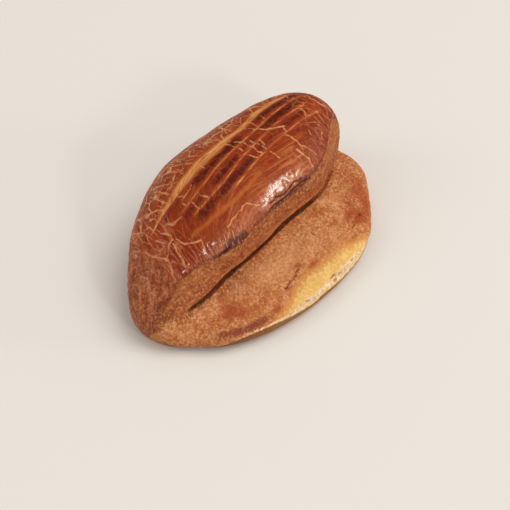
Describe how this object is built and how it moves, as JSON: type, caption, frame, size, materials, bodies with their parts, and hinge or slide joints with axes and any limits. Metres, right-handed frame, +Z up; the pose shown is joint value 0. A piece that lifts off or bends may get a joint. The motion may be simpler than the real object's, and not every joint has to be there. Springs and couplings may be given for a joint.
{
  "type": "cheese pogaca",
  "caption": "Baked pogaca bun: an oval of dough folded over itself, a tall glazed roll with scored lines overhanging a thinner flap, flat underneath.",
  "frame": {"origin": "Centre of the footprint box, on the surface the bun rests on.", "axes": "+X runs along the length towards the fuller end, -Y points to the lower flap, +Z is up."},
  "size_m": [0.1216, 0.0798, 0.0447],
  "materials": {
    "crust": "baked crust, glossy egg glaze on the roll, matte on the flap"
  },
  "bodies": {
    "root": {"bun": "crust"}
  },
  "joints": []
}
